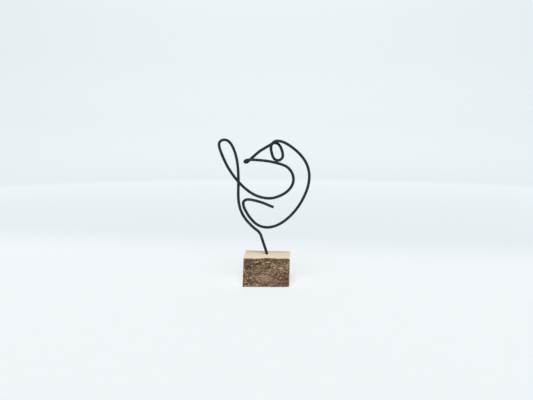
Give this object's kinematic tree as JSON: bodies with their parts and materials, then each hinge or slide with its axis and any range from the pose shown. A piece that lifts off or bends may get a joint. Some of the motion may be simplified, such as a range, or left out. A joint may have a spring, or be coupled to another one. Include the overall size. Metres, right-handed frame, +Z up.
{
  "type": "wire bird sculpture",
  "caption": "Small table sculpture of a perched bird drawn with one bent black wire, standing in a sawn wood block that keeps its bark on the front.",
  "frame": {"origin": "centre of the block's flat underside", "axes": "+Z up, +X along the bird and the block's width with the bird looking towards -X, -Y towards the front, where the bark is"},
  "size_m": [0.0921, 0.0404, 0.1453],
  "materials": {
    "black_wire": "satin black, as on annealed or blackened steel wire",
    "block_wood": "raw sawn pale wood, with its rough brown bark left on the front face"
  },
  "bodies": {
    "root": {"wire_bird": "black_wire", "wood_block": "block_wood"}
  },
  "joints": []
}
